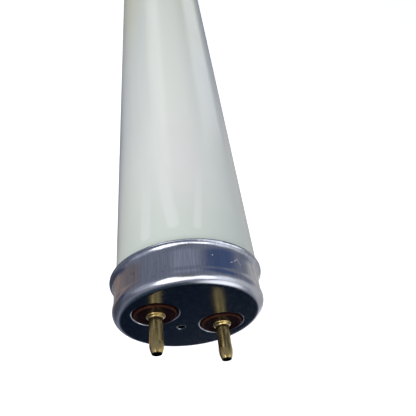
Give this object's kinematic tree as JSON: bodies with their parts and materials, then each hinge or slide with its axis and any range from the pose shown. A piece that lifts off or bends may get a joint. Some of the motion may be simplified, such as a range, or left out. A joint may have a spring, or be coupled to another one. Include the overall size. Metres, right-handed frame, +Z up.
{
  "type": "fluorescent tube",
  "caption": "Straight coated glass discharge tube with an aluminium cap and a pair of hollow brass contact pins at each end.",
  "frame": {"origin": "middle of the near cap's flat face, on the axis of both caps", "axes": "+Y along the lamp from the near cap to the far cap, X through the two pins of each cap, +Z up"},
  "size_m": [0.0276, 0.603, 0.0276],
  "materials": {
    "coated_glass": "gloss, milky coating inside",
    "cap_aluminium": "drawn and polished",
    "basing_cement": "matte",
    "phenolic": "gloss",
    "pin_brass": "satin",
    "lead_wire": "dull"
  },
  "bodies": {
    "root": {"glass_tube": "coated_glass", "near_cap": "cap_aluminium", "near_cement": "basing_cement", "near_left_insulator": "phenolic", "near_right_insulator": "phenolic", "near_left_pin": "pin_brass", "near_right_pin": "pin_brass", "near_left_lead": "lead_wire", "near_right_lead": "lead_wire", "far_cap": "cap_aluminium", "far_cement": "basing_cement", "far_left_insulator": "phenolic", "far_right_insulator": "phenolic", "far_left_pin": "pin_brass", "far_right_pin": "pin_brass", "far_left_lead": "lead_wire", "far_right_lead": "lead_wire"}
  },
  "joints": []
}
